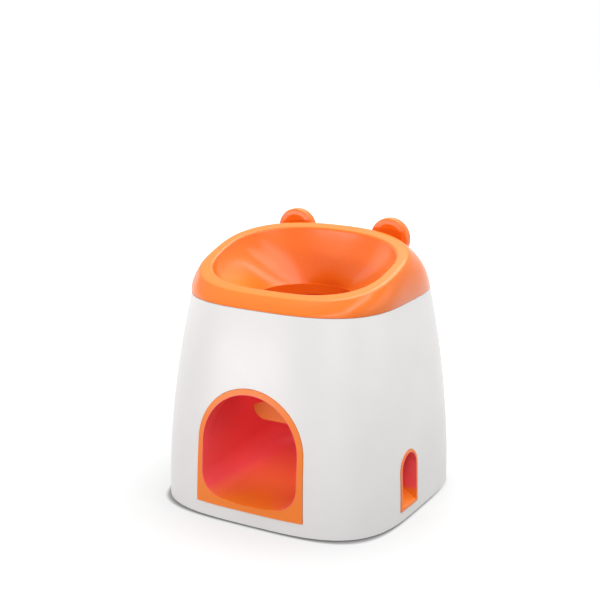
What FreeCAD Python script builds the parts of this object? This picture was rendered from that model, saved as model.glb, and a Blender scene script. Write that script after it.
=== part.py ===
import FreeCAD, Part
import math
import os

# Fetch-and-treat ball dispenser. Millimetres, +Z up, X across, the ball rolls out towards -Y.
# The origin is the middle of the footprint, on the floor.

# Housing: its outline is rounder at the front than at the back and draws in towards the seam
foot_gap = 1.5                 # the rubber feet hold the housing this far off the floor
seam_height = 155.6            # the lid meets the housing here
base_half_width = 93.6
base_half_depth = 85.5
seam_half_width = 80.4
seam_front = 69.0
seam_back = 78.0
base_front_power = 3.4         # superellipse powers: 2 is an ellipse, more is squarer
base_back_power = 5.2
seam_front_power = 2.95
seam_back_power = 4.15
housing_wall = 2.6
housing_levels = 5             # sections in a loft of the housing's form
outline_points = 36            # points that a closed outline passes through

# Lid with the bowl: the rim lies on a plane that falls towards the front
lid_gap = 0.3                  # shadow line between lid and housing
rim_rise = 0.30                # rise of the rim plane for each millimetre towards the back
rim_height = 26.4              # height of the rim plane over the seam, above the origin
rim_half_width = 68.8          # inner lip of the bowl
rim_front = 49.8
rim_back_lean = 5.6            # the lip is this far behind the back of the throat
rim_front_power = 2.9
rim_back_power = 2.3
rim_band = 8.7                 # width of the rim round the bowl
lid_bulge = 2.1                # the lid's side swells this much between seam and rim
lid_bulge_place = 0.5          # and this share of the way from seam to rim
rim_round = 4.0
lip_round = 2.0
lid_wall = 2.4
bowl_middle_depth = 13.0       # depth of the bowl's middle section below the rim plane
bowl_middle_rise = 0.17
bowl_middle_half_width = 59.0
bowl_middle_front = 48.2
bowl_middle_lean = 2.6         # the middle section is this far behind the back of the throat
skirt_depth = 5.7              # the lid's skirt reaches this far down inside the housing
skirt_gap = 0.5
skirt_wall = 2.0
ledge_height = 1.6

# Throat: the hole in the bowl that the ball drops through
ball_diameter = 66.7           # a standard tennis ball at its largest
throat_play = 2.65             # room round the ball in the throat
throat_y = -1.0
throat_drop = 3.6              # the throat starts this far under the seam
throat_land = 0.8              # the bowl's floor ends this far outside the throat
spigot_depth = 8.0
riser_drop = 6.0               # the chute's riser ends this far under the top of the throat
spigot_gap = 0.4               # between the bowl's spigot and the chute's riser

# Ears: two round lugs behind the rim, by which the lid is lifted off
ear_radius = 15.5
ear_x = 40.3
ear_behind = 7.6               # the ear's middle is this far behind the rim's back edge
ear_drop = 10.4                # and this far under the rim plane
ear_thickness = 7.4
ear_dish_radius = 11.2
ear_dish_depth = 2.4
ear_round = 1.6

# Ball chute: a riser over a gallery that ends in the arched mouth
chute_wall = 2.4
mouth_splay = 0.9              # the bezel is this much wider at its foot than at its spring
mouth_low = 11.4
mouth_top = 101.3
bezel_band = 4.3               # width of the bezel over the arch
bezel_sill = 4.8               # height of the bezel under the floor's front edge
bezel_depth = 5.5
bezel_proud = 0.6
bezel_gap = 0.25
floor_slope = 0.06             # the floor rises by this share of the way back
floor_corner = 17.5
floor_hollow = 150.0           # radius of the floor's shallow gutter, which keeps the ball central
gallery_reach = 27.0           # from the shaft forward to the gallery's front wall
gallery_rise = 3.0             # the gallery's roof is this far over the crown of the way out
pad_height = 4.0               # raised pads on the outside of the gallery carry the shaft

# Shaft and trip flap
shaft_radius = 2.5
shaft_flat = 0.5               # depth of the flat that keys the shaft to what it turns
shaft_clearance = 2.45         # between the flap's hub and the ball that drops behind it
shaft_drop = 9.0               # the shaft's axis is this far under the gallery's roof
running_gap = 0.05
flap_side_gap = 18.1           # between the flap and the gallery's sides
flap_catch = 19.8              # the flap hangs this far down over the top of the ball
flap_neck = 12.0               # half the width of the flap's neck
flap_shoulder = 4.0            # the shoulders rise this much towards the neck
flap_corner = 9.8
flap_thickness = 2.4
flap_rib = 1.6                 # three ribs stiffen the flap's back
flap_rib_depth = 1.7
hub_radius = 4.2
bush_radius = 4.0
bush_flange_radius = 6.0
bush_flange = 1.2
bearing_pad_radius = 8.0

# Treat drum and its housing
drum_radius = 14.0
drum_length = 18.6
drum_cheek = 1.8
drum_gap = 0.6
scoop_radius = 10.5
scoop_floor = 5.0
drum_side_gap = 1.0
casing_wall = 2.0
casing_rise = 2.4              # the casing's rim is this far over the room round the drum
spout_fall = 3.9               # the spout's end is this far under the casing's round part
spout_reach = 4.2              # the casing's spout ends this far over the treat chute's well
spout_gap = 0.5
casing_gap = 0.6               # room between the casing and the screw heads beside it
lug_radius = 4.2

# Treat hopper
hopper_gap = 2.3               # between the hopper and the ball chute
hopper_lid_gap = 2.4           # between the hopper and the lid's skirt
hopper_screw_rise = 6.653      # the hopper's screw is this far over its sloping floor
hopper_wall = 2.0
hopper_back = 37.0
hopper_side_slope = 1.0
hopper_shell_gap = 1.5
collar_gap = 0.3               # between the hopper's collar and the drum casing
window_half_depth = 9.4
collar_wall = 2.0
wiper_thickness = 1.2
wiper_gap = 0.5                # between the wiper's edge and the drum

# Treat chute and the outlet in the right side
outlet_behind = 26.9           # the outlet's middle is this far behind the shaft
outlet_half_width = 13.3
outlet_low = 9.2
outlet_top = 52.4
outlet_wall = 2.2
outlet_floor_slope = 0.55
outlet_sill = 2.4
outlet_rim_depth = 6.6

# Base plate, feet and fasteners
plate_rise = 1.5               # the base plate is set this far up inside the housing
plate_thickness = 2.6
plate_gap = 0.3
plate_rib = 1.8
plate_rib_height = 3.4
plate_rib_inset = 6.0
foot_radius = 8.0
foot_seat = 1.2
foot_inset_x = 43.6            # from the housing's side at its foot to the middle of a foot
foot_inset_y = 21.5
post_inset_x = 20.6            # and to the middle of a post
post_inset_y = 30.5
post_radius = 4.6
post_height = 26.0
leg_inset = 9.8                # from the gallery's inside to the middle of a leg
front_leg_setback = 10.0       # from the gallery's front wall back to the front legs
back_leg_setback = 21.0        # from the middle of the throat back to the back legs
leg_radius = 4.4
outlet_leg_reach = 14.8        # from the chute's pads out to the legs of the treat chute
outlet_leg_spread = 7.0
screw_radius = 1.5
screw_head_radius = 2.9
screw_head_height = 1.9
screw_length = 9.0
head_recess = 0.4

# Return spring, collar and clips at the shaft's left end
spring_radius = 4.4
spring_wire = 0.45
spring_turns = 4
spring_pitch = 1.0
spring_sides = 8               # sides of the wire's section
spring_leg = 11.4              # length of the leg that bears on the chute's peg
leg_clearance = 0.1            # round the end that is hooked into the collar
peg_radius = 1.6
peg_gap = 0.3                  # between the leg and the peg over it
peg_inset = 2.2                # from the leg's tip back to the middle of the peg
collar_radius = 7.0
collar_length = 4.0
clip_thickness = 0.8
clip_radius = 5.0
groove_depth = 0.4
shaft_end = 1.6
end_play = 0.3

# ------------------------------------------------------------------ worked out from the above
throat_radius = ball_diameter / 2 + throat_play
throat_back = throat_y + throat_radius + throat_land
throat_top = seam_height - throat_drop
rim_level = seam_height + rim_height
rim_back = throat_back + rim_back_lean
bowl_middle_back = throat_back + bowl_middle_lean
ear_y = rim_back + rim_band + ear_behind
ear_z = rim_level + rim_rise * ear_y - ear_drop
riser_top = throat_top - riser_drop
spigot_radius = throat_radius + lid_wall
gallery_half_width = spigot_radius + spigot_gap
mouth_spring_half_width = gallery_half_width + bezel_band
mouth_base_half_width = mouth_spring_half_width + mouth_splay
floor_front = mouth_low + bezel_sill
gallery_top = mouth_top - bezel_band + gallery_rise
shaft_y = throat_y - ball_diameter / 2 - shaft_clearance - hub_radius
shaft_z = gallery_top - shaft_drop
gallery_front = shaft_y - gallery_reach
flap_half_width = gallery_half_width - flap_side_gap
outlet_y = shaft_y + outlet_behind
plate_low = foot_gap + plate_rise
plate_top = plate_low + plate_thickness
screw_seat = plate_low + head_recess
pad_face = gallery_half_width + chute_wall + pad_height
drum_start = pad_face + casing_wall + drum_side_gap
drum_end = drum_start + drum_length
casing_end = drum_end + drum_side_gap + casing_wall
casing_radius = drum_radius + drum_gap + casing_wall
casing_back = outlet_y - outlet_half_width + outlet_wall + spout_reach
casing_low = shaft_z - casing_radius - spout_fall
casing_top = shaft_z + drum_radius + drum_gap + casing_rise
shaft_well_top = casing_low - spout_gap
hopper_side = gallery_half_width + chute_wall + hopper_gap
hopper_top = seam_height - skirt_depth - hopper_lid_gap
hopper_front = shaft_y - casing_radius
hopper_floor_end = shaft_y + drum_radius
hopper_slope = (hopper_top - casing_top) / (hopper_back - hopper_floor_end)
hopper_screw_height = casing_top + hopper_slope * (throat_y - hopper_floor_end) + hopper_screw_rise
foot_x = base_half_width - foot_inset_x
foot_y = base_half_depth - foot_inset_y
post_x = base_half_width - post_inset_x
post_y = base_half_depth - post_inset_y
chute_leg_x = gallery_half_width - leg_inset
outlet_leg_x = pad_face + outlet_leg_reach
beyond = 20.0                  # a cutting tool reaches this far out of what it cuts
past = 1.0                     # and this far where there is less room
nearness = 0.02                # an edge this near to an outline lies on it


def vec(x, y, z):
    return FreeCAD.Vector(x, y, z)


def box(x0, x1, y0, y1, z0, z1):
    return Part.makeBox(x1 - x0, y1 - y0, z1 - z0, vec(x0, y0, z0))


def rod_x(radius, x0, x1, y, z):
    return Part.makeCylinder(radius, x1 - x0, vec(x0, y, z), vec(1, 0, 0))


def rod_z(radius, z0, z1, x, y):
    return Part.makeCylinder(radius, z1 - z0, vec(x, y, z0), vec(0, 0, 1))


def closed_curve(half_width, front, back, front_power, back_power, height, rise=0.0, middle_y=0.0):
    """A closed smooth outline on the plane height + rise * y, as its left and its right half."""
    points = []
    for step in range(outline_points):
        angle = math.pi / 2 + 2 * math.pi * step / outline_points
        across = math.cos(angle)
        along = math.sin(angle)
        reach = back if along >= 0 else front
        power = back_power if along >= 0 else front_power
        radius = (abs(across / half_width) ** power + abs(along / reach) ** power) ** (-1 / power)
        y = middle_y + radius * along
        points.append(vec(radius * across, y, height + rise * y))
    curve = Part.BSplineCurve()
    knots = [step / outline_points for step in range(outline_points + 1)]
    curve.interpolate(Points=points, PeriodicFlag=True, Parameters=knots)
    return Part.Wire([curve.toShape(0, 0.5), curve.toShape(0.5, 1)])


def between(low, high, share):
    return low + (high - low) * share


# ------------------------------------------------------------------ housing
def housing_curve(height, inset):
    """The housing's outline at one height, drawn in by an inset."""
    lean = ((height - foot_gap) / (seam_height - foot_gap)) ** 2
    return closed_curve(
        between(base_half_width, seam_half_width, lean) - inset,
        between(base_half_depth, seam_front, lean) - inset,
        between(base_half_depth, seam_back, lean) - inset,
        between(base_front_power, seam_front_power, lean),
        between(base_back_power, seam_back_power, lean),
        height,
    )


def housing_form(inset, low, high):
    """The solid form of the housing between two heights."""
    last = housing_levels - 1
    levels = [between(low, high, step / last) for step in range(housing_levels)]
    return Part.makeLoft([housing_curve(level, inset) for level in levels], True, False)


def edges_along(shape, outline):
    """The edges of a shape that lie on an outline."""
    found = []
    for edge in shape.Edges:
        middle = edge.valueAt((edge.FirstParameter + edge.LastParameter) / 2)
        if outline.distToShape(Part.Vertex(middle))[0] < nearness:
            found.append(edge)
    return found


def arch_wire(half_base, half_spring, low, top, plane_y, grow=0.0):
    """An arch with sharp lower corners, in a plane across Y."""
    base = half_base + grow
    side = half_spring + grow
    spring = top - half_spring
    foot = low - grow
    left = Part.makeLine(vec(-base, plane_y, foot), vec(-side, plane_y, spring))
    crown = Part.Arc(vec(-side, plane_y, spring), vec(0, plane_y, spring + side),
                     vec(side, plane_y, spring))
    right = Part.makeLine(vec(side, plane_y, spring), vec(base, plane_y, foot))
    sill = Part.makeLine(vec(base, plane_y, foot), vec(-base, plane_y, foot))
    return Part.Wire([left, crown.toShape(), right, sill])


def mouth_arch(grow, start_y, end_y):
    outline = arch_wire(mouth_base_half_width, mouth_spring_half_width, mouth_low, mouth_top, start_y, grow)
    return Part.Face(outline).extrude(vec(0, end_y - start_y, 0))


def outlet_arch(half_width, low, top, start_x, end_x):
    """The side outlet's arch, run along X."""
    outline = arch_wire(half_width, half_width, low, top, 0)
    solid = Part.Face(outline).extrude(vec(0, start_x - end_x, 0))
    solid.rotate(vec(0, 0, 0), vec(0, 0, 1), 90)
    solid.translate(vec(start_x, outlet_y, 0))
    return solid


def post_places():
    return [(side * post_x, end * post_y) for side in (-1, 1) for end in (-1, 1)]


def post_with_webs(x, y):
    """A screw post in a corner of the housing, tied to both walls by webs."""
    top = plate_top + post_height
    half = housing_wall / 2
    out_x = x + math.copysign(beyond, x)
    out_y = y + math.copysign(beyond, y)
    low = plate_top + plate_rib_height + plate_gap
    across = box(min(x, out_x), max(x, out_x), y - half, y + half, low, top)
    along = box(x - half, x + half, min(y, out_y), max(y, out_y), low, top)
    return rod_z(post_radius, plate_top, top, x, y).fuse([across, along])


def make_outer_shell():
    shell = housing_form(0, foot_gap, seam_height)
    shell = shell.cut(housing_form(housing_wall, foot_gap - past, seam_height + past))
    inside = housing_form(housing_wall / 2, plate_top, seam_height - past)
    for x, y in post_places():
        shell = shell.fuse(post_with_webs(x, y).common(inside))
    for x, y in post_places():
        shell = shell.cut(rod_z(screw_radius, plate_top - past, screw_seat + screw_length, x, y))
    shell = shell.cut(mouth_arch(bezel_gap, -base_half_depth - beyond, gallery_front))
    return shell.cut(outlet_arch(outlet_half_width + bezel_gap, outlet_low - bezel_gap,
                                 outlet_top + bezel_gap, casing_end, base_half_width + beyond))


# ------------------------------------------------------------------ lid
def rim_curve(grow, height):
    """The bowl's lip, grown outward, on the rim plane or over or under it."""
    return closed_curve(rim_half_width + grow, rim_front + grow, rim_back + grow,
                        rim_front_power, rim_back_power, height, rim_rise)


def lid_form(inset, under):
    """The lid's outer form from a height up to the rim, drawn in to make its inside."""
    seam = closed_curve(seam_half_width - inset, seam_front - inset, seam_back - inset,
                        seam_front_power, seam_back_power, under)
    swell = closed_curve(
        between(seam_half_width, rim_half_width + rim_band, lid_bulge_place) + lid_bulge - inset,
        between(seam_front, rim_front + rim_band, lid_bulge_place) + lid_bulge - inset,
        between(seam_back, rim_back + rim_band, lid_bulge_place) + lid_bulge - inset,
        between(seam_front_power, rim_front_power, lid_bulge_place),
        between(seam_back_power, rim_back_power, lid_bulge_place),
        between(seam_height + lid_gap, rim_level - inset, lid_bulge_place), rim_rise * lid_bulge_place)
    rim = rim_curve(rim_band - inset, rim_level - inset)
    return Part.makeLoft([seam, swell, rim], True, False)


def bowl_form(grow):
    """The bowl's hollow, open past the rim; grown by a wall it is the bowl's underside."""
    middle = closed_curve(bowl_middle_half_width + grow, bowl_middle_front + grow,
                          bowl_middle_back + grow, rim_front_power, rim_back_power,
                          rim_level - bowl_middle_depth - grow / 2, bowl_middle_rise)
    radius = throat_radius + throat_land + grow
    throat = closed_curve(radius, radius, radius, 2, 2, throat_top - grow, 0, throat_y)
    return Part.makeLoft([rim_curve(grow, rim_level + beyond / 2), rim_curve(grow, rim_level),
                          middle, throat], True, False)


def make_ear(side):
    back = ear_y + ear_thickness / 2
    front = ear_y - ear_thickness / 2
    x = side * ear_x
    ear = Part.makeCylinder(ear_radius, ear_thickness, vec(x, front, ear_z), vec(0, 1, 0))
    ear = ear.makeFillet(ear_round, ear.Edges)
    dish_sphere = (ear_dish_radius ** 2 + ear_dish_depth ** 2) / (2 * ear_dish_depth)
    dish = Part.makeSphere(dish_sphere, vec(x, front - dish_sphere + ear_dish_depth, ear_z))
    return ear.cut(dish)


def make_top_bowl():
    under = seam_height + lid_gap
    ledge_top = under + ledge_height
    inner = housing_wall + skirt_gap + skirt_wall
    span = max(base_half_width, base_half_depth)
    outer = lid_form(0, under)
    outer = outer.makeFillet(rim_round, edges_along(outer, rim_curve(rim_band, rim_level)))
    kept = bowl_form(lid_wall)
    funnel = kept.common(box(-span, span, -span, span, seam_height - beyond, under + past))
    spigot = rod_z(spigot_radius, throat_top - spigot_depth, throat_top + past, 0, throat_y)
    skirt = seam_skirt(housing_wall + skirt_gap, seam_height - skirt_depth, under + past)
    hollow = lid_form(lid_wall, under).cut(box(-span, span, -span, span, under - past, ledge_top))
    opening = seam_skirt(inner, seam_height - skirt_depth - past, ledge_top + past / 2)
    lid = outer.fuse([make_ear(-1), make_ear(1)]).fuse([skirt, funnel, spigot])
    lid = lid.cut(hollow.cut(kept)).cut(opening.cut(kept).cut(spigot))
    lid = lid.cut(bowl_form(0))
    lid = lid.cut(rod_z(throat_radius, throat_top - beyond, throat_top + 2 * past, 0, throat_y))
    return lid.makeFillet(lip_round, edges_along(lid, rim_curve(0, rim_level)))


def seam_skirt(inset, low, high):
    """An upright form with the outline of the seam."""
    outline = closed_curve(seam_half_width - inset, seam_front - inset, seam_back - inset,
                           seam_front_power, seam_back_power, low)
    return Part.Face(outline).extrude(vec(0, 0, high - low))


# ------------------------------------------------------------------ ball chute
def floor_at(y):
    return floor_front + floor_slope * (y + base_half_depth)


def arc_about(x, z, radius, start, end, plane_y):
    """An arc about a centre in a plane across Y, between two angles from +X towards +Z."""
    angles = (start, (start + end) / 2, end)
    points = [vec(x + radius * math.cos(a), plane_y, z + radius * math.sin(a)) for a in angles]
    return Part.Arc(*points).toShape()


def gutter_corner():
    """The corner's centre over the floor's lowest line, and the angle that the floor's arc spans."""
    reach = gallery_half_width - floor_corner
    spread = floor_hollow - floor_corner
    return floor_hollow - math.sqrt(spread ** 2 - reach ** 2), math.asin(reach / spread)


def half_gutter(grow, side, plane_y):
    """One half of the floor's section, from the middle out to the upright side."""
    low = floor_at(plane_y)
    height, turn = gutter_corner()
    down = -math.pi / 2
    middle = arc_about(0, low + floor_hollow, floor_hollow + grow, down, down + turn, plane_y)
    corner = arc_about(gallery_half_width - floor_corner, low + height, floor_corner + grow,
                       down + turn, 0, plane_y)
    if side > 0:
        return [middle, corner]
    mirror = [edge.mirror(vec(0, 0, 0), vec(1, 0, 0)) for edge in (middle, corner)]
    return mirror


def channel_form(grow, start_y, end_y, top):
    """The channel from start to end: a shallow gutter with upright sides, rising on the way back."""
    length = end_y - start_y
    half = gallery_half_width + grow
    spring = floor_at(start_y) + gutter_corner()[0]
    high = top + beyond
    upright = [Part.makeLine(vec(-half, start_y, spring), vec(-half, start_y, high)),
               Part.makeLine(vec(-half, start_y, high), vec(half, start_y, high)),
               Part.makeLine(vec(half, start_y, high), vec(half, start_y, spring))]
    outline = Part.Wire(Part.sortEdges(upright + half_gutter(grow, -1, start_y)
                                       + half_gutter(grow, 1, start_y))[0])
    solid = Part.Face(outline).extrude(vec(0, length, length * floor_slope))
    return solid.common(box(-half, half, start_y, end_y, 0, top))


def well_form(grow, top):
    """The upright part under the throat: half of the channel's section, turned about its axis."""
    half = gallery_half_width + grow
    low = floor_at(throat_y)
    outline = Part.Wire(half_gutter(grow, 1, throat_y) + [
        Part.makeLine(vec(half, throat_y, low + gutter_corner()[0]), vec(half, throat_y, top)),
        Part.makeLine(vec(half, throat_y, top), vec(0, throat_y, top)),
        Part.makeLine(vec(0, throat_y, top), vec(0, throat_y, low - grow))])
    return Part.Face(outline).revolve(vec(0, throat_y, 0), vec(0, 0, 1), 360)


def mouth_form(grow, start_y, end_y):
    """The arched way through the bezel."""
    half = gallery_half_width + grow
    top = mouth_top - bezel_band + grow
    arch = Part.Face(arch_wire(half, half, mouth_low - beyond, top, start_y)).extrude(
        vec(0, end_y - start_y, 0))
    return arch.common(channel_form(grow, start_y, end_y, top))


def chute_space():
    """Everything that the ball may move through."""
    space = channel_form(0, gallery_front, throat_y, gallery_top)
    space = space.fuse(mouth_form(0, -base_half_depth - beyond, gallery_front + past))
    return space.fuse(well_form(0, riser_top + past))


def chute_leg_places():
    rows = (gallery_front + front_leg_setback, throat_y + back_leg_setback)
    return [(side * chute_leg_x, y) for side in (-1, 1) for y in rows]


def make_ball_chute():
    front_wall = gallery_front - chute_wall
    body = channel_form(chute_wall, front_wall, throat_y, gallery_top + chute_wall)
    body = body.fuse(well_form(chute_wall, riser_top))
    skin = housing_form(-bezel_proud, mouth_low - beyond, mouth_top + beyond)
    behind = housing_form(bezel_depth, mouth_low - beyond - past, mouth_top + beyond + past)
    bezel = mouth_arch(0, -base_half_depth - beyond, front_wall + past).common(skin).cut(behind)
    neck = mouth_form(chute_wall, -base_half_depth - beyond, front_wall + past).common(skin)
    body = body.fuse([bezel, neck])
    for side in (-1, 1):
        near = side * (gallery_half_width + chute_wall / 2)
        far = side * pad_face
        body = body.fuse(rod_x(bearing_pad_radius, min(near, far), max(near, far), shaft_y, shaft_z))
    near = gallery_half_width + chute_wall / 2
    for y, z in casing_screw_places():
        body = body.fuse(rod_x(lug_radius, near, pad_face, y, z))
    bracket_x = gallery_half_width
    body = body.fuse(box(bracket_x, hopper_side, throat_y - lug_radius, throat_y + lug_radius,
                         hopper_screw_height - lug_radius, hopper_screw_height + lug_radius))
    for x, y in chute_leg_places():
        body = body.fuse(rod_z(leg_radius, plate_top, floor_at(y) + floor_corner, x, y))
    peg_z = shaft_z + spring_radius + spring_wire + peg_gap + peg_radius
    body = body.fuse(rod_x(peg_radius, spring_start() - 2 * spring_wire - past, -near,
                           shaft_y - spring_leg + peg_inset, peg_z))
    body = body.cut(chute_space())
    for x, y in chute_leg_places():
        body = body.cut(rod_z(screw_radius, plate_top - past, screw_seat + screw_length, x, y))
    body = body.cut(rod_x(bush_radius, -pad_face - past, pad_face + past, shaft_y, shaft_z))
    for y, z in casing_screw_places():
        body = body.cut(rod_x(screw_radius, pad_face + casing_wall - screw_length, pad_face + past, y, z))
    body = body.cut(rod_x(screw_radius, hopper_side + hopper_wall - screw_length, hopper_side + past,
                          throat_y, hopper_screw_height))
    return body.removeSplitter()


# ------------------------------------------------------------------ base plate, feet
def plate_screw_places():
    return post_places() + chute_leg_places() + outlet_leg_places()


def foot_places():
    return [(side * foot_x, end * foot_y) for side in (-1, 1) for end in (-1, 1)]


def outlet_leg_places():
    return [(outlet_leg_x, outlet_y - outlet_leg_spread), (outlet_leg_x, outlet_y + outlet_leg_spread)]


def make_base_plate():
    inset = housing_wall + plate_gap
    plate = housing_form(inset, plate_low, plate_top)
    rib_top = plate_top + plate_rib_height
    rib = housing_form(inset + plate_rib_inset, plate_top - past, rib_top)
    rib = rib.cut(housing_form(inset + plate_rib_inset + plate_rib, plate_top - 2 * past, rib_top + past))
    for x, y in plate_screw_places():
        rib = rib.cut(rod_z(post_radius + plate_rib, plate_low, rib_top + past, x, y))
    rib = rib.cut(box(outlet_leg_x, base_half_width, outlet_y - outlet_half_width - past,
                      outlet_y + outlet_half_width + past, plate_low, rib_top + past))
    plate = plate.fuse(rib)
    for x, y in plate_screw_places():
        plate = plate.cut(rod_z(screw_radius, plate_low - past, plate_top + past, x, y))
        plate = plate.cut(rod_z(screw_head_radius + plate_gap, plate_low - past, screw_seat, x, y))
    for x, y in foot_places():
        plate = plate.cut(rod_z(foot_radius, plate_low - past, plate_low + foot_seat, x, y))
    return plate.removeSplitter()


def make_rubber_feet():
    feet = []
    for x, y in foot_places():
        foot = rod_z(foot_radius, 0, plate_low + foot_seat, x, y)
        rim = [edge for edge in foot.Edges if edge.BoundBox.ZMax < foot_gap / 2]
        feet.append(foot.makeChamfer(foot_gap / 2, rim))
    return Part.makeCompound(feet)


# ------------------------------------------------------------------ shaft, flap and bushes
def keyed_rod(start, end):
    """The shaft's own section, round with one flat; its bores in flap, drum and collar match."""
    rod = rod_x(shaft_radius, start, end, shaft_y, shaft_z)
    return rod.cut(box(start, end, shaft_y - shaft_radius, shaft_y + shaft_radius,
                       shaft_z + shaft_radius - shaft_flat, shaft_z + shaft_radius))


def make_trip_shaft():
    shaft = keyed_rod(shaft_left(), shaft_right())
    for x in clip_places():
        groove = rod_x(shaft_radius + past, x, x + clip_thickness, shaft_y, shaft_z)
        core = rod_x(shaft_radius - groove_depth, x, x + clip_thickness, shaft_y, shaft_z)
        shaft = shaft.cut(groove.cut(core))
    return shaft


def make_trip_flap():
    low = floor_at(shaft_y) + ball_diameter - flap_catch
    corner = flap_corner
    half = flap_half_width
    bend = corner * (1 - math.sqrt(0.5))
    side = low + corner
    neck_low = side + flap_shoulder
    y = shaft_y - flap_thickness / 2
    right = [
        Part.makeLine(vec(half - corner, y, low), vec(0, y, low)),
        Part.Arc(vec(half - corner, y, low), vec(half - bend, y, low + bend),
                 vec(half, y, side)).toShape(),
        Part.makeLine(vec(half, y, side), vec(flap_neck, y, neck_low)),
        Part.makeLine(vec(flap_neck, y, neck_low), vec(flap_neck, y, shaft_z)),
        Part.makeLine(vec(flap_neck, y, shaft_z), vec(0, y, shaft_z))]
    left = [edge.mirror(vec(0, 0, 0), vec(1, 0, 0)) for edge in right]
    outline = Part.Wire(Part.sortEdges(right + left)[0])
    flap = Part.Face(outline).extrude(vec(0, flap_thickness, 0))
    flap = flap.fuse(rod_x(hub_radius, -flap_neck, flap_neck, shaft_y, shaft_z))
    for x in (corner - half, 0, half - corner):
        back = shaft_y + flap_thickness / 2
        flap = flap.fuse(box(x - flap_rib / 2, x + flap_rib / 2, back - flap_thickness / 2,
                             back + flap_rib_depth, low + corner / 2, shaft_z))
    return flap.cut(keyed_rod(-half - past, half + past)).removeSplitter()


def bush(start, end, flange_side):
    """A flanged bush; the flange is on the outside of what it sits in."""
    sleeve = rod_x(bush_radius, start, end, shaft_y, shaft_z)
    if flange_side > 0:
        flange = rod_x(bush_flange_radius, end, end + bush_flange, shaft_y, shaft_z)
    else:
        flange = rod_x(bush_flange_radius, start - bush_flange, start, shaft_y, shaft_z)
    bore = rod_x(shaft_radius + running_gap, start - beyond, end + beyond, shaft_y, shaft_z)
    return sleeve.fuse(flange).cut(bore).removeSplitter()


# ------------------------------------------------------------------ drum and its casing
def make_treat_drum():
    drum = rod_x(drum_radius, drum_start, drum_end, shaft_y, shaft_z)
    scoop = rod_x(scoop_radius, drum_start + drum_cheek, drum_end - drum_cheek,
                  shaft_y, shaft_z + scoop_floor + scoop_radius)
    return drum.cut(scoop).cut(keyed_rod(drum_start - past, drum_end + past))


def casing_wire(grow, x, back):
    """Side outline: upright front, round under the drum, then a spout that falls to the back."""
    radius = casing_radius + grow
    front = shaft_y - radius
    top = casing_top
    spout_low = casing_low - grow
    drop = shaft_z - radius
    bend = radius * math.sqrt(0.5)
    return Part.Wire([
        Part.makeLine(vec(x, back, top), vec(x, front, top)),
        Part.makeLine(vec(x, front, top), vec(x, front, shaft_z)),
        Part.Arc(vec(x, front, shaft_z), vec(x, shaft_y - bend, shaft_z - bend),
                 vec(x, shaft_y, drop)).toShape(),
        Part.makeLine(vec(x, shaft_y, drop), vec(x, back, spout_low)),
        Part.makeLine(vec(x, back, spout_low), vec(x, back, top))])


def casing_screw_places():
    ahead = shaft_y - casing_radius - screw_head_radius - casing_gap
    behind = casing_back + screw_head_radius + casing_gap
    return [(ahead, shaft_z), (behind, casing_top - 2 * lug_radius)]


def make_drum_casing():
    inner_start = pad_face + casing_wall
    inner_end = casing_end - casing_wall
    casing = Part.Face(casing_wire(0, pad_face, casing_back)).extrude(vec(casing_end - pad_face, 0, 0))
    for y, z in casing_screw_places():
        lug = rod_x(lug_radius, pad_face, inner_start, y, z)
        web = box(pad_face, inner_start, min(y, shaft_y), max(y, shaft_y), z - lug_radius, z + lug_radius)
        casing = casing.fuse([lug, web])
    inner = Part.Face(casing_wire(-casing_wall, inner_start, casing_back + beyond))
    casing = casing.cut(inner.extrude(vec(inner_end - inner_start, 0, 0)))
    casing = casing.cut(box(inner_start, inner_end, shaft_y - casing_radius + casing_wall,
                            casing_back + beyond, casing_top - past, casing_top + past))
    for y, z in casing_screw_places():
        casing = casing.cut(rod_x(screw_radius, pad_face - past, inner_start + past, y, z))
    casing = casing.cut(rod_x(bush_flange_radius + end_play, pad_face - past, inner_start + past,
                              shaft_y, shaft_z))
    casing = casing.cut(rod_x(bush_radius, inner_end - past, casing_end + past, shaft_y, shaft_z))
    return casing.common(housing_form(housing_wall + past, casing_low - beyond, casing_top))


# ------------------------------------------------------------------ hopper
def window(grow, z0, z1):
    margin = casing_wall + collar_gap + collar_wall - grow
    return box(pad_face + margin, casing_end - margin, shaft_y - window_half_depth - grow,
               shaft_y + window_half_depth + grow, z0, z1)


def hopper_form(inset, top):
    """Sloping to the drum from the back and from the right, and cut to the housing's inside."""
    low = casing_top + inset
    lift = (top - low) / hopper_slope
    side = Part.Face(Part.makePolygon([
        vec(0, hopper_front + inset, low), vec(0, hopper_floor_end - inset / 2, low),
        vec(0, hopper_floor_end - inset / 2 + lift, top), vec(0, hopper_front + inset, top),
        vec(0, hopper_front + inset, low)])).extrude(vec(base_half_width, 0, 0))
    reach = (top - low) / hopper_side_slope
    end = Part.Face(Part.makePolygon([
        vec(hopper_side + inset, -base_half_depth, low),
        vec(casing_end - inset / 2, -base_half_depth, low),
        vec(casing_end - inset / 2 + reach, -base_half_depth, top),
        vec(hopper_side + inset, -base_half_depth, top),
        vec(hopper_side + inset, -base_half_depth, low)])).extrude(vec(0, 2 * base_half_depth, 0))
    gap = housing_wall + hopper_shell_gap + inset
    return side.common(end).common(housing_form(gap, casing_top - past, top + past))


def make_treat_hopper():
    hopper = hopper_form(0, hopper_top).cut(hopper_form(hopper_wall, hopper_top + past))
    collar = window(collar_wall, drum_top_clear(), casing_top + hopper_wall / 2)
    hopper = hopper.fuse(collar)
    hopper = hopper.cut(window(0, drum_top_clear() - past, casing_top + hopper_wall + past))
    hopper = hopper.cut(rod_x(drum_radius + drum_gap, pad_face, casing_end, shaft_y, shaft_z))
    hopper = hopper.cut(rod_x(screw_radius, hopper_side - past, hopper_side + hopper_wall + past,
                              throat_y, hopper_screw_height))
    return hopper.removeSplitter()


def drum_top_clear():
    return shaft_z + math.sqrt((drum_radius + drum_gap) ** 2 - (window_half_depth + collar_wall) ** 2)


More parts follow.
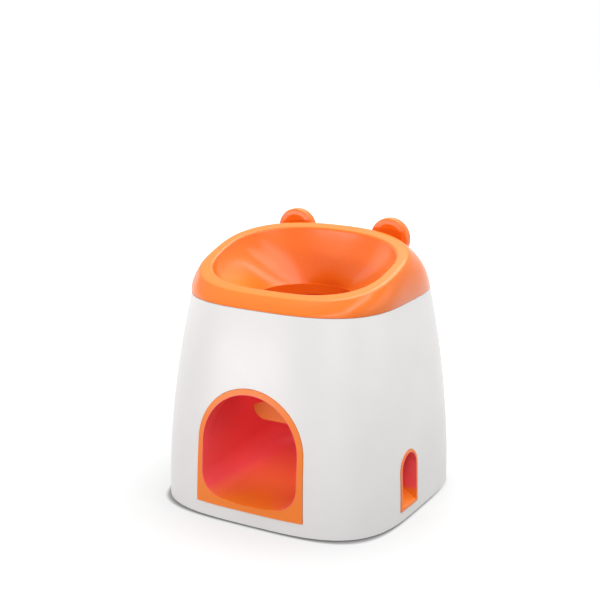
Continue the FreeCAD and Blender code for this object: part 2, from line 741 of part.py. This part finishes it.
def make_kibble_wiper():
    back = shaft_y + window_half_depth + collar_wall
    margin = casing_wall + collar_gap
    low = shaft_z + math.sqrt(drum_radius ** 2 - (window_half_depth + collar_wall) ** 2) + wiper_gap
    return box(pad_face + margin, casing_end - margin, back, back + wiper_thickness, low, casing_top)


# ------------------------------------------------------------------ treat chute
def above_outlet_floor(drop):
    """All that is over the sloping floor, or over a level a little under it."""
    low_x = pad_face
    high_x = base_half_width + beyond
    front = outlet_y - outlet_half_width - past
    high = shaft_well_top + 2 * past
    low_end = outlet_low + outlet_sill - outlet_floor_slope * beyond - drop
    high_end = low_end + outlet_floor_slope * (high_x - low_x)
    outline = Part.makePolygon([vec(high_x, front, low_end), vec(low_x, front, high_end),
                                vec(low_x, front, high), vec(high_x, front, high),
                                vec(high_x, front, low_end)])
    return Part.Face(outline).extrude(vec(0, 2 * (outlet_half_width + past), 0))


def make_treat_chute():
    high_x = base_half_width + beyond
    skin = housing_form(-bezel_proud, foot_gap, outlet_top + beyond)
    front = outlet_y - outlet_half_width
    back = outlet_y + outlet_half_width
    spring = outlet_top - outlet_half_width
    body = outlet_arch(outlet_half_width, outlet_low, outlet_top, pad_face, high_x)
    body = body.fuse(box(pad_face, casing_end, front, back, spring, shaft_well_top))
    inner = outlet_arch(outlet_half_width - outlet_wall, outlet_low, outlet_top - outlet_wall,
                        pad_face + outlet_wall, high_x)
    inner = inner.fuse(box(pad_face + outlet_wall, casing_end - outlet_wall, front + outlet_wall,
                           back - outlet_wall, spring, shaft_well_top + past))
    rim = outlet_arch(outlet_half_width, outlet_low, outlet_top, base_half_width - outlet_rim_depth, high_x)
    body = body.common(above_outlet_floor(outlet_wall)).fuse(rim).common(skin)
    body = body.cut(inner.common(above_outlet_floor(0)))
    for x, y in outlet_leg_places():
        body = body.fuse(rod_z(leg_radius, plate_top, spring, x, y).cut(above_outlet_floor(0)))
        body = body.cut(rod_z(screw_radius, plate_top - past, screw_seat + screw_length, x, y))
    return body.removeSplitter()


# ------------------------------------------------------------------ spring, collar, clips, screws
def spring_start():
    return -pad_face - bush_flange - end_play


def spring_end():
    return spring_start() - spring_turns * spring_pitch - 2 * spring_wire


def clip_places():
    left = spring_end() - end_play - collar_length - end_play - clip_thickness
    right = casing_end + bush_flange + end_play
    return [left, right]


def shaft_left():
    return clip_places()[0] - shaft_end


def shaft_right():
    return clip_places()[1] + clip_thickness + shaft_end


def make_return_spring():
    """A torsion spring round the shaft: one leg bears on the chute's peg, one end hooks the collar."""
    height = spring_turns * spring_pitch
    helix = Part.makeHelix(spring_pitch, height, spring_radius)
    turns = [2 * math.pi * side / spring_sides for side in range(spring_sides + 1)]
    section = Part.makePolygon([vec(spring_radius + spring_wire * math.cos(turn), 0,
                                    spring_wire * math.sin(turn)) for turn in turns])
    coil = Part.Wire(helix.Edges).makePipeShell([section], True, True)
    leg = Part.makeCylinder(spring_wire, spring_leg, vec(spring_radius, spring_wire, 0), vec(0, -1, 0))
    hook = Part.makeCylinder(spring_wire, collar_length, vec(spring_radius, 0, height - spring_wire),
                             vec(0, 0, 1))
    spring = coil.fuse([leg, hook])
    spring.rotate(vec(0, 0, 0), vec(0, 1, 0), -90)
    spring.translate(vec(spring_start() - spring_wire, shaft_y, shaft_z))
    return spring


def make_spring_collar():
    start = spring_end() - end_play - collar_length
    end = start + collar_length
    collar = rod_x(collar_radius, start, end, shaft_y, shaft_z)
    collar = collar.cut(rod_x(spring_wire + leg_clearance, start - past, end + past,
                              shaft_y, shaft_z + spring_radius))
    return collar.cut(keyed_rod(start - past, end + past))


def make_shaft_clips():
    clips = []
    inner = shaft_radius - groove_depth
    for x in clip_places():
        clip = rod_x(clip_radius, x, x + clip_thickness, shaft_y, shaft_z)
        clip = clip.cut(rod_x(inner, x - past, x + clip_thickness + past, shaft_y, shaft_z))
        clip = clip.cut(box(x - past, x + clip_thickness + past, shaft_y - inner, shaft_y + inner,
                            shaft_z, shaft_z + 2 * clip_radius))
        clips.append(clip)
    return Part.makeCompound(clips)


def screw(place, way):
    """A pan-head screw whose head rests on place; way points from the tip to the head."""
    head = Part.makeCylinder(screw_head_radius, screw_head_height, place, way)
    top = [edge for edge in head.Edges
           if (edge.CenterOfMass - place).dot(way) > screw_head_height / 2 and edge.Closed]
    head = head.makeChamfer(screw_head_height / 2, top)
    shank = Part.makeCylinder(screw_radius, screw_length, place, way.negative())
    return head.fuse(shank)


def screws_up(places):
    return Part.makeCompound([screw(vec(x, y, screw_seat), vec(0, 0, -1)) for x, y in places])


def make_casing_screws():
    x = pad_face + casing_wall
    return Part.makeCompound([screw(vec(x, y, z), vec(1, 0, 0)) for y, z in casing_screw_places()])


def make_hopper_screw():
    return screw(vec(hopper_side + hopper_wall, throat_y, hopper_screw_height), vec(1, 0, 0))


# ------------------------------------------------------------------ write the nodes
nodes = {
    "outer_shell": make_outer_shell(),
    "top_bowl": make_top_bowl(),
    "ball_chute": make_ball_chute(),
    "base_plate": make_base_plate(),
    "rubber_feet": make_rubber_feet(),
    "trip_shaft": make_trip_shaft(),
    "trip_flap": make_trip_flap(),
    "left_bush": bush(-pad_face, -gallery_half_width, -1),
    "right_bush": bush(gallery_half_width, pad_face, 1),
    "end_bush": bush(casing_end - casing_wall, casing_end, 1),
    "treat_drum": make_treat_drum(),
    "drum_casing": make_drum_casing(),
    "treat_hopper": make_treat_hopper(),
    "kibble_wiper": make_kibble_wiper(),
    "treat_chute": make_treat_chute(),
    "return_spring": make_return_spring(),
    "spring_collar": make_spring_collar(),
    "shaft_clips": make_shaft_clips(),
    "housing_screws": screws_up(post_places()),
    "chute_screws": screws_up(chute_leg_places()),
    "outlet_screws": screws_up(outlet_leg_places()),
    "casing_screws": make_casing_screws(),
    "hopper_screw": make_hopper_screw(),
}

os.makedirs("parts", exist_ok=True)
for name, shape in nodes.items():
    shape.exportStep("parts/" + name + ".step")
    print(name, len(shape.Solids), "solids", round(shape.Volume), "mm3",
          "valid" if shape.isValid() else "NOT VALID")
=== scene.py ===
import math
import bmesh
import bpy
from mathutils import Matrix, Vector


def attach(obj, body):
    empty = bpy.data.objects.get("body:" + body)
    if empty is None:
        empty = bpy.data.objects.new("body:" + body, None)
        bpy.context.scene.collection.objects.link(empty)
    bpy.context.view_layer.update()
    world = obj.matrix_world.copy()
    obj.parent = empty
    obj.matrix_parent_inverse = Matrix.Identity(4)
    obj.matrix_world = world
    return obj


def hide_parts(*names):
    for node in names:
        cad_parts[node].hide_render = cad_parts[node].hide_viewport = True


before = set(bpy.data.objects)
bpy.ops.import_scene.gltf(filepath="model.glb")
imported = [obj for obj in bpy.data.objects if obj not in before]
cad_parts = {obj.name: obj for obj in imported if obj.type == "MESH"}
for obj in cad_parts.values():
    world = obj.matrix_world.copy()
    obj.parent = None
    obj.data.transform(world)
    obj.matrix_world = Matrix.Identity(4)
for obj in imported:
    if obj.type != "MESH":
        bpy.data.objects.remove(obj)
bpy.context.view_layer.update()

scene = bpy.context.scene

# ------------------------------------------------------------------ camera
# The camera looks down on the dispenser's front right corner, as a dog's owner does
# from across a small room, with a fairly long lens that keeps the sides upright.
camera_turn = math.radians(29.7)
camera_rise = math.radians(14.6)
camera_distance = 0.9288
camera_aim = Vector((-0.005006, -0.000955, 0.1478))
away = Vector((math.sin(camera_turn) * math.cos(camera_rise),
               -math.cos(camera_turn) * math.cos(camera_rise),
               math.sin(camera_rise)))
camera_data = bpy.data.cameras.new("camera")
camera_data.sensor_width = 36.0
camera_data.lens = 75.0
camera = bpy.data.objects.new("camera", camera_data)
camera.rotation_mode = "QUATERNION"
camera.location = camera_aim + away * camera_distance
camera.rotation_quaternion = (-away).to_track_quat("-Z", "Y")
scene.collection.objects.link(camera)
scene.camera = camera


# ------------------------------------------------------------------ housing
# The housing is one moulding in warm white ABS with a fine satin texture. It is open above,
# for the lid, and below, for the base plate, and four corner posts take the plate's screws.
def add(tree, kind, sockets, **settings):
    """Adds a node and gives its outputs. A socket gets a value or another node's output."""
    made = tree.nodes.new(kind)
    made.location = (200 * len(tree.nodes), 0)
    for name, value in settings.items():
        setattr(made, name, value)
    for name, value in sockets.items():
        if isinstance(value, bpy.types.NodeSocket):
            tree.links.new(value, made.inputs[name])
        else:
            made.inputs[name].default_value = value
    return made.outputs


def reckon(tree, operation, first, second=0.0):
    """Works out one number from two."""
    return add(tree, "ShaderNodeMath", {0: first, 1: second}, operation=operation)["Value"]


def ramp(tree, value, start, end, low=0.0, high=1.0, shape="LINEAR"):
    """Runs from low to high while the value runs from start to end."""
    limits = {"Value": value, "From Min": start, "From Max": end, "To Min": low, "To Max": high}
    return add(tree, "ShaderNodeMapRange", limits, interpolation_type=shape)["Result"]


def blend(tree, share, colour, other):
    """Blends a share of the other colour into a colour."""
    return add(tree, "ShaderNodeMix", {0: share, 6: colour, 7: other}, data_type="RGBA")[2]


def blank(name):
    """A material whose node tree is still empty."""
    material = bpy.data.materials.new(name)
    material.use_nodes = True
    material.node_tree.nodes.clear()
    return material


def moulded_plastic(name, colour, deep_colour, roughness, grain=0.00045, bump=0.000012,
                    scuff=0.04):
    """Moulded plastic: clouds of slightly different colour, an uneven sheen with faint scuffs,
    and a fine tool texture. Grain and bump are the texture's spacing and depth, in metres."""
    clouds_per_metre = 22.0
    cloud_edge = (0.35, 0.75)
    sheen_per_metre = 90.0
    shiniest, dullest = 0.88, 1.14
    scuffs_per_metre = 700.0
    scuff_stretch = (1.0, 0.16, 0.7)
    scuff_edge = (0.60, 0.74)
    material = blank(name)
    tree = material.node_tree
    place = add(tree, "ShaderNodeTexCoord", {})["Object"]
    cloud = add(tree, "ShaderNodeTexNoise",
                {"Vector": place, "Scale": clouds_per_metre, "Detail": 3.0})["Fac"]
    paint = blend(tree, ramp(tree, cloud, *cloud_edge), (*colour, 1.0), (*deep_colour, 1.0))
    sheen = add(tree, "ShaderNodeTexNoise",
                {"Vector": place, "Scale": sheen_per_metre, "Detail": 4.0})["Fac"]
    gloss = ramp(tree, sheen, 0.0, 1.0, roughness * shiniest, roughness * dullest)
    stretched = add(tree, "ShaderNodeMapping", {"Vector": place, "Scale": scuff_stretch})["Vector"]
    rubs = add(tree, "ShaderNodeTexNoise",
               {"Vector": stretched, "Scale": scuffs_per_metre, "Detail": 2.0})["Fac"]
    worn = ramp(tree, rubs, *scuff_edge, 0.0, scuff)
    tooth = add(tree, "ShaderNodeTexNoise", {"Vector": place, "Scale": 1.0 / grain,
                                             "Detail": 2.0, "Roughness": 0.6})["Fac"]
    relief = add(tree, "ShaderNodeBump", {"Strength": 0.6, "Distance": bump,
                                          "Height": tooth})["Normal"]
    surface = add(tree, "ShaderNodeBsdfPrincipled",
                  {"Base Color": paint, "Roughness": reckon(tree, "ADD", gloss, worn),
                   "Specular IOR Level": 0.4, "Normal": relief})["BSDF"]
    add(tree, "ShaderNodeOutputMaterial", {"Surface": surface})
    return material


def dress(node, finish):
    """Gives a CAD node its finish."""
    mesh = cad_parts[node].data
    mesh.materials.clear()
    mesh.materials.append(finish)


housing_white = moulded_plastic("housing_white", (0.80, 0.79, 0.785), (0.77, 0.76, 0.755), 0.34)
dress("outer_shell", housing_white)


# ------------------------------------------------------------------ lid
# The lid is one moulding in glossy orange ABS: rim, bowl, throat and the two ears that it is
# lifted by. Its skirt drops inside the housing and its spigot into the chute's riser.
def tint(material, share, colour):
    """Blends a share of a second colour into a plastic's own."""
    tree = material.node_tree
    paint = tree.nodes["Principled BSDF"].inputs["Base Color"]
    tree.links.new(blend(tree, share, paint.links[0].from_socket, (*colour, 1.0)), paint)


lid_orange = moulded_plastic("lid_orange", (0.88, 0.180, 0.012), (0.86, 0.166, 0.011), 0.22,
                             grain=0.0006, bump=0.000006)
# Painted light: faces that look up are tinted a paler, more golden orange, a painted highlight for
# the light from above.
lid_painted_top_light = (0.90, 0.235, 0.018)
painted_top_light_edge = (0.78, 0.95)      # how squarely a face looks up: gold starts, gold is full
lid_tree = lid_orange.node_tree
lid_facing = add(lid_tree, "ShaderNodeTexCoord", {})["Normal"]
lid_upward = add(lid_tree, "ShaderNodeSeparateXYZ", {"Vector": lid_facing})["Z"]
tint(lid_orange, ramp(lid_tree, lid_upward, *painted_top_light_edge), lid_painted_top_light)
dress("top_bowl", lid_orange)

# ------------------------------------------------------------------ ball chute
# The chute is moulded in orange, with a painted shade of deeper red on the walls that the ball
# runs between. Its riser stands under the bowl, its gallery slopes to the front arch, where the
# bezel closes the gap in the housing, and four screws through the base plate hold its legs.
chute_orange = moulded_plastic("chute_orange", (0.90, 0.215, 0.020), (0.88, 0.200, 0.018), 0.38,
                               grain=0.0006, bump=0.000008, scuff=0.12)
# Painted shade: a deeper red that stands in for the dim light bounced between the ways' own walls.
wall_painted_shade_red = (0.95, 0.112, 0.122)


def distance(tree, x=0.0, y=0.0, z=0.0):
    """The length of the line that has these three parts."""
    line = add(tree, "ShaderNodeCombineXYZ", {"X": x, "Y": y, "Z": z})["Vector"]
    return add(tree, "ShaderNodeVectorMath", {0: line}, operation="LENGTH")["Value"]


def paint_wall_shade(material, across, along, centre, half_width, spring, mouth, floor, end=0.2,
                 corner=0.0, bend=0.0, ceiling=None):
    """Gives the walls of a ball's or a treat's way a painted shade of deeper red, and leaves its
    face and floor orange.

    The way runs along one axis, and across the other it is half_width wide on each side of its
    centre. Its top is a half round over the height of spring, from the two places of mouth on
    outwards. The red starts between the two heights of floor. Past end, which by default lies
    outside the housing, the way closes in a half round. Below bend its lower corners are rounded
    with the radius of corner. Above ceiling only the bore of the round riser at the end is red.
    """
    tree = material.node_tree
    orange_from, red_to = half_width + 0.0005, half_width + 0.0002
    flat = half_width - corner
    place = add(tree, "ShaderNodeTexCoord", {})["Object"]
    part = add(tree, "ShaderNodeSeparateXYZ", {"Vector": place})
    sideways = reckon(tree, "SUBTRACT", part[across], centre)
    onward = reckon(tree, "SUBTRACT", part[along], end)
    over_spring = reckon(tree, "MAXIMUM", reckon(tree, "SUBTRACT", part["Z"], spring))
    arched = reckon(tree, "MULTIPLY", over_spring, ramp(tree, part[along], *mouth))
    from_middle = distance(tree, sideways, reckon(tree, "MAXIMUM", onward), arched)
    beside = reckon(tree, "SUBTRACT", reckon(tree, "ABSOLUTE", sideways), flat)
    under = reckon(tree, "SUBTRACT", bend, part["Z"])
    from_corner = distance(tree, x=reckon(tree, "MAXIMUM", beside),
                           z=reckon(tree, "MAXIMUM", under))
    reach = reckon(tree, "MAXIMUM", from_middle, reckon(tree, "ADD", from_corner, flat))
    walls = ramp(tree, reach, orange_from, red_to)
    if ceiling is not None:
        orange_above, red_under = ceiling + 0.0008, ceiling + 0.0004
        below = ramp(tree, part["Z"], orange_above, red_under)
        bore = ramp(tree, distance(tree, sideways, onward), orange_from, red_to)
        walls = reckon(tree, "MULTIPLY", walls, reckon(tree, "MAXIMUM", below, bore))
    tint(material, reckon(tree, "MULTIPLY", walls, ramp(tree, part["Z"], *floor)), wall_painted_shade_red)


paint_wall_shade(chute_orange, "X", "Y", centre=0.0, half_width=0.0388, spring=0.0582,
             mouth=(-0.0678, -0.0681), floor=(0.0165, 0.0245), end=-0.001, corner=0.0175,
             bend=0.0354, ceiling=0.1)
dress("ball_chute", chute_orange)

# ------------------------------------------------------------------ trip flap
# The flap is a rounded orange tongue, pressed on the cross shaft, that hangs across the
# gallery. The ball swings it up and out on its way.
# Painted light: the flap's orange is paler than the chute's, to stand in for the light it lacks
# deep inside the gallery.
flap_painted_light_orange = moulded_plastic("flap_painted_light_orange", (0.95, 0.245, 0.030), (0.93, 0.230, 0.027), 0.38,
                              grain=0.0006, bump=0.000006)
dress("trip_flap", flap_painted_light_orange)

# ------------------------------------------------------------------ treat chute
# Treats fall into this orange moulding and slide down its steep floor to the small arch in the
# right side. It is screwed to the base plate, and its inside walls have the same painted shade of
# deeper red.
outlet_orange = moulded_plastic("outlet_orange", (0.90, 0.215, 0.020), (0.88, 0.200, 0.018),
                                0.38, grain=0.0006, bump=0.000008)
paint_wall_shade(outlet_orange, "Y", "X", centre=-0.0141, half_width=0.0111, spring=0.0391,
             mouth=(0.0850, 0.0855), floor=(0.017, 0.020))
dress("treat_chute", outlet_orange)

# ------------------------------------------------------------------ base plate
# A flat plate in the housing's white plastic closes it below. The housing and both chutes are
# screwed to it from underneath.
dress("base_plate", housing_white)

# ------------------------------------------------------------------ feet
# Four round feet in matt black rubber are pressed into seats in the base plate, and hold the
# housing a few millimetres off the floor.
foot_rubber = moulded_plastic("foot_rubber", (0.018, 0.018, 0.019), (0.030, 0.030, 0.031), 0.62,
                              grain=0.0005, bump=0.00002)
dress("rubber_feet", foot_rubber)

# ------------------------------------------------------------------ treat drum and wiper
# The drum is dark grey acetal with one scoop, pressed on the shaft. A lip of black rubber in
# its casing strikes the scoop off level.
drum_grey = moulded_plastic("drum_grey", (0.075, 0.080, 0.088), (0.060, 0.064, 0.070), 0.40)
wiper_rubber = moulded_plastic("wiper_rubber", (0.022, 0.022, 0.024), (0.030, 0.030, 0.033),
                               0.60)
dress("treat_drum", drum_grey)
dress("kibble_wiper", wiper_rubber)

# ------------------------------------------------------------------ drum casing and hopper
# Both are moulded in natural polypropylene, a cool milky white, and screwed to lugs on the ball
# chute. The hopper stands over the casing and leads the treats down to the drum.
natural_plastic = moulded_plastic("natural_plastic", (0.62, 0.63, 0.63), (0.56, 0.57, 0.58), 0.38)
dress("drum_casing", natural_plastic)
dress("treat_hopper", natural_plastic)

# ------------------------------------------------------------------ bushes and spring collar
# Three plain bushes carry the cross shaft, and a collar on its left end takes the spring's
# hook. All four are turned from cream-coloured bearing plastic.
bush_plastic = moulded_plastic("bush_plastic", (0.74, 0.72, 0.64), (0.70, 0.68, 0.60), 0.36)
for turned_part in ("left_bush", "right_bush", "end_bush", "spring_collar"):
    dress(turned_part, bush_plastic)


# ------------------------------------------------------------------ shaft, clips and spring
# The ground cross shaft, the two clips that snap into its grooves and the torsion spring round
# its left end are bright steel, with fine drawing marks along the metal.
def drawn_steel(name, roughness):
    """Bright steel with fine drawing marks."""
    mark_stretch = (0.08, 1.0, 1.0)
    marks_per_metre = 2600.0
    shiniest, dullest = 0.8, 1.3
    material = blank(name)
    tree = material.node_tree
    place = add(tree, "ShaderNodeTexCoord", {})["Object"]
    stretched = add(tree, "ShaderNodeMapping", {"Vector": place, "Scale": mark_stretch})["Vector"]
    marks = add(tree, "ShaderNodeTexNoise",
                {"Vector": stretched, "Scale": marks_per_metre, "Detail": 3.0})["Fac"]
    gloss = ramp(tree, marks, 0.0, 1.0, roughness * shiniest, roughness * dullest)
    relief = add(tree, "ShaderNodeBump",
                 {"Strength": 0.4, "Distance": 0.000005, "Height": marks})["Normal"]
    surface = add(tree, "ShaderNodeBsdfPrincipled",
                  {"Base Color": (0.56, 0.56, 0.57, 1.0), "Metallic": 1.0, "Roughness": gloss,
                   "Normal": relief})["BSDF"]
    add(tree, "ShaderNodeOutputMaterial", {"Surface": surface})
    return material


bright_steel = drawn_steel("bright_steel", 0.28)
for steel_part in ("trip_shaft", "shaft_clips", "return_spring"):
    dress(steel_part, bright_steel)

# ------------------------------------------------------------------ screws
# Thirteen pan-head screws in zinc-plated steel form their own thread in the plastic. Each has a
# tapered cross recess in its head and a coarse thread down to a blunt point.
zinc_plate = drawn_steel("zinc_plate", 0.36)
head_radius = 0.0029
head_height = 0.0019
head_steps = 36
shank_length = 0.0090
core_radius = 0.00115
thread_radius = 0.0015
thread_pitch = 0.0011
thread_turns = 6
thread_steps = 24               # in one turn
thread_start = -0.0080
thread_depth = 0.0002           # how deep the ridge starts in the core
thread_crest = 0.28             # where the ridge is highest, in pitches from its lower edge
thread_width = 0.56             # the ridge's width at the core, in pitches
recess_arm = 0.00135
recess_half_width = 0.00034
recess_depth = 0.0011
recess_taper = 0.6
sharp_angle = math.radians(35.0)


def pan_screw():
    """One screw, head up, with the head's seat at the origin."""
    made = bmesh.new()
    middle = {"cent": (0.0, 0.0, 0.0), "axis": (0.0, 0.0, 1.0)}
    # Each point's radius and height, from the blunt point up to the top of the head.
    outline = ((0.0, -shank_length), (0.0006, -shank_length), (0.0009, -0.0085),
               (core_radius, -0.0076), (core_radius, -0.0004), (thread_radius, 0.0),
               (0.0027, 0.0), (head_radius, 0.0002), (head_radius, 0.0007), (0.00282, 0.0011),
               (0.00260, 0.0014), (0.00225, 0.0017), (0.00180, head_height))
    points = [made.verts.new((radius, 0.0, height)) for radius, height in outline]
    lines = [made.edges.new(pair) for pair in zip(points, points[1:])]
    bmesh.ops.spin(made, geom=points + lines, angle=2.0 * math.pi, steps=head_steps,
                   use_merge=True, **middle)
    bmesh.ops.remove_doubles(made, verts=made.verts, dist=1e-6)
    rim = [edge for edge in made.edges if edge.is_boundary]

    long, wide = recess_arm, recess_half_width
    corners = ((long, -wide), (long, wide), (wide, wide), (wide, long), (-wide, long),
               (-wide, wide), (-long, wide), (-long, -wide), (-wide, -wide), (-wide, -long),
               (wide, -long), (wide, -wide))
    cross = [made.verts.new((x, y, head_height)) for x, y in corners]
    cross_edges = [made.edges.new((cross[turn - 1], cross[turn])) for turn in range(len(cross))]
    bmesh.ops.bridge_loops(made, edges=rim + cross_edges)
    sunk = bmesh.ops.extrude_edge_only(made, edges=cross_edges)["geom"]
    low = [part for part in sunk if isinstance(part, bmesh.types.BMVert)]
    bmesh.ops.translate(made, vec=(0.0, 0.0, -recess_depth), verts=low)
    bmesh.ops.scale(made, vec=(recess_taper, recess_taper, 1.0), verts=low)
    bmesh.ops.contextual_create(
        made, geom=[part for part in sunk if isinstance(part, bmesh.types.BMEdge)])

    root = core_radius - thread_depth
    ridge = [made.verts.new(place) for place in
             ((root, 0.0, thread_start),
              (thread_radius, 0.0, thread_start + thread_crest * thread_pitch),
              (root, 0.0, thread_start + thread_width * thread_pitch))]
    sides = [made.edges.new((ridge[turn - 1], ridge[turn])) for turn in range(len(ridge))]
    wound = bmesh.ops.spin(made, geom=ridge + sides, dvec=(0.0, 0.0, thread_pitch / thread_steps),
                           angle=2.0 * math.pi * thread_turns,
                           steps=thread_steps * thread_turns, **middle)
    made.faces.new(ridge)
    made.faces.new([part for part in wound["geom_last"] if isinstance(part, bmesh.types.BMVert)])
    bmesh.ops.triangulate(made, faces=[face for face in made.faces if len(face.verts) > 4])
    bmesh.ops.recalc_face_normals(made, faces=made.faces)
    for face in made.faces:
        face.smooth = True
    for edge in made.edges:
        edge.smooth = not edge.is_manifold or edge.calc_face_angle() < sharp_angle
    screw = bpy.data.meshes.new("pan_screw")
    made.to_mesh(screw)
    made.free()
    return screw


one_screw = pan_screw()


def screw_set(name, node, places, way):
    """Puts a screw at each place, with its head's seat there. The way is from point to head."""
    made = bmesh.new()
    turned = Vector(way).to_track_quat("Z", "X").to_matrix().to_4x4()
    for place in places:
        before = len(made.verts)
        made.from_mesh(one_screw)
        made.verts.ensure_lookup_table()
        bmesh.ops.transform(made, matrix=Matrix.Translation(place) @ turned,
                            verts=made.verts[before:])
    data = bpy.data.meshes.new(name)
    made.to_mesh(data)
    made.free()
    data.materials.append(zinc_plate)
    piece = bpy.data.objects.new(name, data)
    scene.collection.objects.link(piece)
    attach(piece, "housing")
    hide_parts(node)


down = (0.0, 0.0, -1.0)
to_right = (1.0, 0.0, 0.0)
plate_seat = 0.0034             # the height of the screw heads' seats under the base plate
screw_set("post_screws", "housing_screws",
          [(x, y, plate_seat) for x in (-0.073, 0.073) for y in (-0.055, 0.055)], down)
screw_set("chute_leg_screws", "chute_screws",
          [(x, y, plate_seat) for x in (-0.029, 0.029) for y in (-0.058, 0.020)], down)
screw_set("outlet_leg_screws", "outlet_screws",
          [(0.060, y, plate_seat) for y in (-0.0211, -0.0071)], down)
screw_set("casing_lug_screws", "casing_screws",
          [(0.0472, -0.0611, 0.0910), (0.0472, -0.0175, 0.0996)], to_right)
screw_set("hopper_lug_screw", "hopper_screw", [(0.0455, -0.0010, 0.1307)], to_right)

# ------------------------------------------------------------------ floor
# A plain white floor with a painted shadow: its glow dims a little round the housing and goes grey
# underneath it. Both painted shades follow the housing's rounded square.
floor_reach = 3.0
floor_mesh = bmesh.new()
bmesh.ops.create_grid(floor_mesh, x_segments=1, y_segments=1, size=floor_reach)
floor_data = bpy.data.meshes.new("floor")
floor_mesh.to_mesh(floor_data)
floor_mesh.free()
floor = bpy.data.objects.new("floor", floor_data)
scene.collection.objects.link(floor)


def seen_directly(tree):
    """Is 1 where the camera looks, straight or by way of metal or glass, and otherwise 0."""
    ray = add(tree, "ShaderNodeLightPath", {})
    mirrored = reckon(tree, "MAXIMUM", ray["Is Camera Ray"], ray["Is Glossy Ray"])
    return reckon(tree, "MAXIMUM", mirrored, ray["Is Transmission Ray"])


white = (1.0, 1.0, 1.0, 1.0)
floor_grey = (0.30, 0.30, 0.30, 1.0)    # how much lamp light the floor throws back
housing_foot = (0.0936, 0.0855, 1.0)    # half the housing's width and depth at the floor
shade_reach = (1.0, 4.0)                # in housings, as contact_shadow_reach is
shade_light = 0.58
contact_shadow_reach = (0.98, 1.018)
contact_shadow_light = 0.20
floor_paint = blank("floor_paint")
floor_tree = floor_paint.node_tree
floor_place = add(floor_tree, "ShaderNodeTexCoord", {})["Object"]
in_housings = add(floor_tree, "ShaderNodeVectorMath", {0: floor_place, 1: housing_foot},
                  operation="DIVIDE")["Vector"]
squared = add(floor_tree, "ShaderNodeVectorMath", {0: in_housings, 1: in_housings},
              operation="MULTIPLY")["Vector"]
fourth_powers = add(floor_tree, "ShaderNodeVectorMath", {0: squared, 1: squared},
                    operation="DOT_PRODUCT")["Value"]
ring = reckon(floor_tree, "POWER", fourth_powers, 0.25)
# Painted shadow: the floor's glow dims round the housing and goes grey right under it.
painted_floor_shade = ramp(floor_tree, ring, *shade_reach, shade_light)
painted_contact_shadow = ramp(floor_tree, ring, *contact_shadow_reach, contact_shadow_light, shape="SMOOTHSTEP")
glow = add(floor_tree, "ShaderNodeEmission",
           {"Color": white, "Strength": reckon(floor_tree, "MULTIPLY", painted_floor_shade, painted_contact_shadow)})
matt = add(floor_tree, "ShaderNodeBsdfDiffuse", {"Color": floor_grey})["BSDF"]
lit = add(floor_tree, "ShaderNodeAddShader", {0: matt, 1: glow["Emission"]})["Shader"]
shown = add(floor_tree, "ShaderNodeMixShader", {0: seen_directly(floor_tree), 1: matt, 2: lit})
add(floor_tree, "ShaderNodeOutputMaterial", {"Surface": shown["Shader"]})
floor_data.materials.append(floor_paint)


# ------------------------------------------------------------------ lamps
# Seven soft lamps: a broad one overhead, two that fill the bowl from the upper right and the
# upper front, and four low ones round the housing that keep its sides a plain pale white.
def soft_lamp(name, place, aim, width, height, power, tone):
    """A rectangular lamp at a place, turned to a point."""
    data = bpy.data.lights.new(name, "AREA")
    data.shape = "RECTANGLE"
    data.size = width
    data.size_y = height
    data.energy = power
    data.color = tone
    lamp = bpy.data.objects.new(name, data)
    lamp.location = place
    lamp.rotation_mode = "QUATERNION"
    lamp.rotation_quaternion = (Vector(aim) - Vector(place)).to_track_quat("-Z", "Y")
    scene.collection.objects.link(lamp)


soft_lamp("top_lamp", (0.0, 0.50, 1.55), (0.0, 0.0, 0.10), 1.2, 1.2, 17.0, (1.0, 0.99, 0.97))
soft_lamp("key_lamp", (0.71, -0.29, 1.34), (0.0, 0.0, 0.165), 0.80, 0.40, 3.6, (1.0, 0.99, 0.98))
soft_lamp("glare_lamp", (-0.78, -1.32, 0.06), (0.0, 0.0, 0.10), 0.6, 0.14, 6.0,
          (1.0, 0.955, 0.945))
soft_lamp("front_lamp", (0.72, -1.32, 0.32), (0.0, 0.0, 0.08), 0.8, 0.6, 1.8, (0.93, 0.97, 1.0))
soft_lamp("bowl_lamp", (0.47, -1.01, 1.15), (0.0, 0.0, 0.15), 0.9, 0.6, 4.7, (1.0, 0.99, 0.99))
soft_lamp("left_lamp", (-1.40, 0.10, 0.30), (0.0, 0.0, 0.09), 1.3, 0.8, 3.7, (1.0, 0.96, 0.95))
soft_lamp("side_lamp", (1.40, 0.30, 0.34), (0.0, 0.0, 0.09), 1.3, 0.8, 3.4, (1.0, 0.98, 0.98))

# ------------------------------------------------------------------ sky
# A pale sky fills the shadows. It is plain white behind the dispenser and where its plastic and
# steel mirror it.
sky_light = 0.55
world = bpy.data.worlds.new("studio")
world.use_nodes = True
sky_tree = world.node_tree
sky_tree.nodes.clear()
sky = add(sky_tree, "ShaderNodeBackground", {"Color": white, "Strength": sky_light})["Background"]
backdrop = add(sky_tree, "ShaderNodeBackground", {"Color": white, "Strength": 1.0})["Background"]
light = add(sky_tree, "ShaderNodeMixShader", {0: seen_directly(sky_tree), 1: sky, 2: backdrop})
add(sky_tree, "ShaderNodeOutputWorld", {"Surface": light["Shader"]})
scene.world = world
scene.view_settings.view_transform = "Standard"
